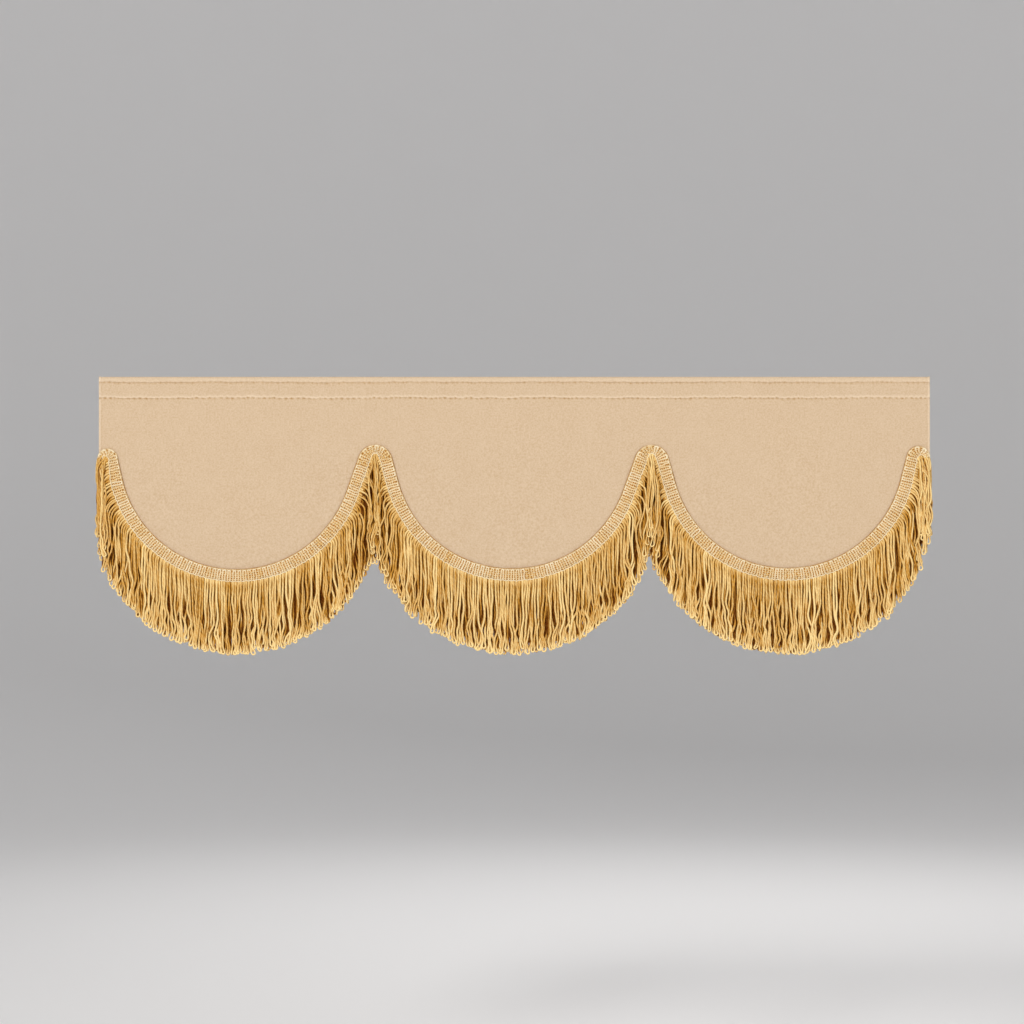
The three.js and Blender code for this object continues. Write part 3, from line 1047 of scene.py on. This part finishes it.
def loop_yarns(settings, count, row):
    """What add_yarn asks for, for all the loops of a row. Each loop is a row of the arrays, and
    each ring of its yarn a column. Lengths are in millimetres, and in metres in what it gives."""
    random = np.random.default_rng(row.seed)
    step = HEADING_LENGTH / count
    start, root_x, root_z, angle, at_end = leave_heading(random, row, count, step)
    shape = start.shape
    towards = np.where(angle < 0, -1.0, 1.0)
    lean = np.abs(angle)

    # A loop bends down before the nearest wall, and spreads a little further on
    sideways = np.maximum(1 - np.cos(lean), 1e-3)
    gap = nearest_wall(root_x, towards)
    near = random.uniform(0.75, 1.0, shape)
    wall = gap * np.where(at_end, near, random.uniform(0.25, 1.05, shape))
    bend = settings.bend / MM * random.uniform(0.75, 1.3, shape)
    bend = bend * (0.6 + 0.4 * smooth(lean, 0.9, 1.25))
    bend = np.clip(np.minimum(bend, wall / sideways), 1.0, None)
    spread = np.abs(random.normal(0, 2.0, shape)) * smooth(lean, 0.5, 1.0)
    spread = spread * np.where(at_end, -0.5, 1.0)
    calm = np.minimum(settings.bend / MM, 0.65 * gap / sideways) * sideways
    layers = layers_below(root_x + towards * calm, step)
    crowd = smooth(layers, 1.3, 2.8) * np.where(at_end, 0.7, 1)

    # It is cut near the circle of its bay
    tip = circle_drop(root_x + towards * (bend * sideways + spread))
    length = root_z - tip - bend * np.sin(lean) + bend * lean
    length = np.clip(length, settings.shortest / MM, settings.longest / MM)
    uneven = np.clip(random.normal(0, 1.4, shape) * np.where(at_end, 4, 1), -9, 1.0)
    length = length + uneven - 5 * (random.uniform(0, 1, shape) > 0.9) - row.short
    eye = settings.eye / MM * random.uniform(0.8, 1.15, shape)
    rank = (np.arange(len(start))[:, None] * 0.618 + random.uniform(0, 0.3, shape)) % 1
    t = ring_places(length, eye, row.rings)
    to_tip = length - t
    near_tip = 1 - smooth(to_tip, 8, 22)

    def noise(across, along):
        return drift(random, start, t, across, along)

    # Its middle line hangs with a sway, and lies in the pile where loops crowd
    x, z, across_x, across_z = hanging_line(root_x, root_z, towards, lean, bend, t)
    sway = row.loose * sway_at(noise, t, crowd, at_end)
    sway = sway + row.aside * step * smooth(t, 10, 40) * (1 - crowd)
    x = x + towards * spread * smooth(t, 35, 95) + sway * across_x
    z = z + sway * across_z
    pile = row.pile * (layers - 0.7) * rank
    depth = row.root + (row.depth - row.root - pile) * smooth(t, 0, 18)
    depth = depth + 0.7 * noise(4.4, 30) * smooth(t, 3, 30)

    # Its legs come out side by side, wind round each other and close in the eye
    last = random.choice([0, 0, 0, 1, -1], shape) * np.pi + random.normal(0, 0.35, shape)
    half_way = random.normal(0.3, 0.7, shape) * (1 - crowd) + 1.4 * crowd
    begin = smooth(t, 18 - 16 * crowd, 46 - 34 * crowd)
    wind = 0.1 + half_way * begin + (last - half_way) * smooth(t / length, 0.45, 0.88)
    wind = row.wound * (wind + 0.6 * noise(4.2, 24) * smooth(t, 5, 35) * (1 - near_tip))
    loose = 1.4 + np.maximum(noise(4.2, 20), 0)
    even = step / 4 * (1 + 0.3 * row.loose * noise(4.2, 12))
    apart = even + row.wound * (loose - even) * smooth(t, 16, 42)
    apart = round_eye(apart + (NECK - apart) * near_tip, eye, to_tip)
    own = row.loose * (smooth(t, 5, 28) + 0.9 * smooth(t, 38, 62)) * (1 - near_tip)
    legs = []
    for leg in (-1, 1):
        shift = leg * apart * np.cos(wind) + 1.2 * own * noise(2.0, 20)
        deep = leg * apart * np.sin(wind) + 0.8 * own * noise(2.0, 26)
        legs.append(in_space(x + shift * across_x, depth + deep, z + shift * across_z))
    back = -np.sin(wind)
    beside = np.stack([back * across_x, np.cos(wind), back * across_z], axis=-1)

    # Its yarn is thinner at the tip, in a crowd and at the heading's ends
    slim = row.thick * (0.78 + 0.22 * smooth(to_tip, 2, 12)) * (1 - 0.22 * crowd * smooth(t, 2, 12))
    pointed = (start < 1) | (start > HEADING_LENGTH - 1)
    slim = slim * np.where(pointed, 0.25 + 0.75 * smooth(t, -1, 9), 1) * (1 + 0.06 * noise(2.0, 7))
    # Tone differs at random from loop to loop, with painted shade where loops lean out and on the back
    # loops of a crowd
    tone = 0.85 + random.normal(0, 0.1, shape) - 0.06 * smooth(lean, 0.3, 0.9)
    tone = tone - 0.2 * crowd * (1 - rank) * np.where(at_end, 0.6, smooth(t, 4, 18))
    # Painted highlight at each loop's tip
    tone = tone + 0.3 * (1 - smooth(to_tip, 1, 8))
    inside = painted_shade_inside(row, layers, at_end, t, to_tip, x, z)

    # All of this holds for the way down one leg, and the same way back up the other
    path = np.concatenate([legs[0], legs[1][:, -2::-1]], axis=1)
    parts = (beside, settings.thickness / 2 * slim, tone, *inside)
    return path, *(np.concatenate([part, part[:, -2::-1]], axis=1) for part in parts)


class CURTAIN_OT_fringe(bpy.types.Operator):
    """Fringe of yarn loops in three rows. A loop leaves the heading at right angles, bends down on
    an arc and hangs straight. Its two legs stand on both sides of that line and wind round it,
    and close in a round eye. Nothing keeps one loop clear of another"""

    bl_idname = "curtain.fringe"
    bl_label = "Fringe"

    def execute(self, context):
        settings = context.scene.curtain_fringe
        loops = rib_count(context.scene.curtain_heading) // 2
        material = yarn_finish("fringe_yarn", settings, twist=0.0065)
        rows = [loop_yarns(settings, loops, row) for row in FRINGE_ROWS]
        for index, name in enumerate(("left", "middle", "right")):
            surface = Surface()
            for row, values in zip(FRINGE_ROWS, rows):
                path, beside, radius, tone, *inside = (np.array_split(v, 3)[index] for v in values)
                add_yarn(surface, path, beside, radius, row.sides, tone, inside)
            seat(surface.make("fringe_" + name, material), "fringe")
        return {"FINISHED"}


# Stage


class CurtainStageSettings(bpy.types.PropertyGroup):
    floor: FloatProperty(
        name="Floor", description="Height of the floor", default=-0.93, unit="LENGTH")
    reach: FloatProperty(
        name="Reach", description="Distance of the back wall", default=6.0, unit="LENGTH")
    colour: FloatVectorProperty(
        name="Floor colour", description="Colour of floor and wall", default=(0.86, 0.86, 0.87),
        subtype="COLOR")
    distance: FloatProperty(
        name="Camera distance", description="Distance from camera to cloth", default=3.424,
        unit="LENGTH")


Light = namedtuple("Light", "name place size power tint")
LIGHTS = [
    Light("key", (-2.3, -4.7, 2.6), size=1.1, power=160, tint=(1.0, 0.98, 0.95)),
    Light("fill", (2.4, -3.2, 0.7), size=1.6, power=34, tint=(1.0, 0.98, 0.96)),
    Light("back", (0.6, 2.4, 1.6), size=1.8, power=45, tint=(1.0, 0.98, 0.96)),
]

# Middle of the curtain, which the camera and the lights face
MIDDLE = Vector((-0.00286, 0.0, -0.1627))


def add_floor(settings):
    """A profile turned round the upright axis: level floor, a quarter circle, and a wall. A
    point closes its middle."""
    corner = 2.6
    angle = np.linspace(0, np.pi / 2, 16)[1:]
    level = np.linspace(0.2, settings.reach - corner, 12)
    bent = settings.reach - corner + corner * np.sin(angle)
    radius = np.concatenate([level, bent, [settings.reach]])[:, None]
    height = np.concatenate([0 * level, corner * (1 - np.cos(angle)), [5.0]])[:, None]
    turn = 2 * np.pi * np.arange(96) / 96
    x = radius * np.cos(turn)
    points = np.stack([x, radius * np.sin(turn), settings.floor + height + 0 * x], axis=-1)
    points = np.concatenate([points.reshape(-1, 3), [[0, 0, settings.floor]]])
    quads = turned_over(grid_faces(len(radius), len(turn), turn=True))
    column = np.arange(len(turn))
    fan = np.stack([0 * column + len(points) - 1, column, np.roll(column, -1)], axis=-1)
    finish = Finish("pale_floor")
    material = finish.end({"Base Color": painted(settings.colour), "Roughness": 0.9})
    surface = Surface()
    maps = (points[quads][..., :2], points[fan][..., :2])
    surface.add(points, 0.5, quads, fan, maps=maps)
    surface.make("floor", material)


def add_light(light):
    """A soft square light that faces the middle of the curtain."""
    data = bpy.data.lights.new(light.name, "AREA")
    data.size = light.size
    data.energy = light.power
    data.color = light.tint
    lamp = bpy.data.objects.new(light.name, data)
    lamp.location = light.place
    lamp.rotation_euler = (MIDDLE - lamp.location).to_track_quat("-Z", "Y").to_euler()
    lamp.visible_camera = False
    bpy.context.scene.collection.objects.link(lamp)


class CURTAIN_OT_stage(bpy.types.Operator):
    """Pale floor that curves up into a round wall, soft lights, and the camera"""

    bl_idname = "curtain.stage"
    bl_label = "Stage"

    def execute(self, context):
        settings = context.scene.curtain_stage
        add_floor(settings)
        for light in LIGHTS:
            add_light(light)
        world = bpy.data.worlds.new("studio")
        world.use_nodes = True
        background = world.node_tree.nodes["Background"].inputs
        background["Color"].default_value = (1.0, 0.99, 0.98, 1.0)
        background["Strength"].default_value = 0.18
        context.scene.world = world
        context.scene.view_settings.view_transform = "Standard"
        camera = bpy.data.cameras.new("camera")
        camera.lens = 100
        camera.sensor_width = 36
        holder = bpy.data.objects.new("camera", camera)
        holder.location = MIDDLE - Vector((0, settings.distance, 0))
        holder.rotation_euler = (math.pi / 2, 0, 0)
        context.scene.collection.objects.link(holder)
        context.scene.camera = holder
        return {"FINISHED"}


class CURTAIN_OT_declare(bpy.types.Operator):
    """Lists the names of the pieces that are sewn to the panel, and does nothing more with them"""

    bl_idname = "curtain.declare"
    bl_label = "State the cloth"

    def execute(self, context):
        names = ["seam_stitches", "heading_ribs", "heading_chains"]
        names += ["fringe_left", "fringe_middle", "fringe_right"]
        return {"FINISHED"}


class CURTAIN_PT_sidebar(bpy.types.Panel):
    """Lists the curtain's pieces with their sizes and colours"""

    bl_idname = "CURTAIN_PT_sidebar"
    bl_label = "Windshield curtain"
    bl_space_type = "VIEW_3D"
    bl_region_type = "UI"
    bl_category = "Curtain"

    def draw(self, context):
        for operator, group in STEPS.items():
            box = self.layout.box()
            box.operator("curtain." + operator)
            if group:
                settings = getattr(context.scene, group)
                for name in type(settings).__annotations__:
                    box.prop(settings, name)


# Operators in the order of their calls, each with its group of settings
STEPS = {
    "stage": "curtain_stage",
    "panel": "curtain_cloth",
    "stitches": "curtain_thread",
    "heading": "curtain_heading",
    "fringe": "curtain_fringe",
    "declare": None,
}
GROUPS = {
    "curtain_stage": CurtainStageSettings,
    "curtain_cloth": CurtainClothSettings,
    "curtain_thread": CurtainThreadSettings,
    "curtain_heading": CurtainHeadingSettings,
    "curtain_fringe": CurtainFringeSettings,
}
CLASSES = [
    *GROUPS.values(),
    CURTAIN_OT_stage,
    CURTAIN_OT_panel,
    CURTAIN_OT_stitches,
    CURTAIN_OT_heading,
    CURTAIN_OT_fringe,
    CURTAIN_OT_declare,
    CURTAIN_PT_sidebar,
]


def register():
    for cls in CLASSES:
        bpy.utils.register_class(cls)
    for name, group in GROUPS.items():
        setattr(bpy.types.Scene, name, PointerProperty(type=group))


def unregister():
    for name in GROUPS:
        delattr(bpy.types.Scene, name)
    for cls in reversed(CLASSES):
        bpy.utils.unregister_class(cls)


def main():
    register()
    for name in STEPS:
        getattr(bpy.ops.curtain, name)()


if __name__ == "__main__":
    main()
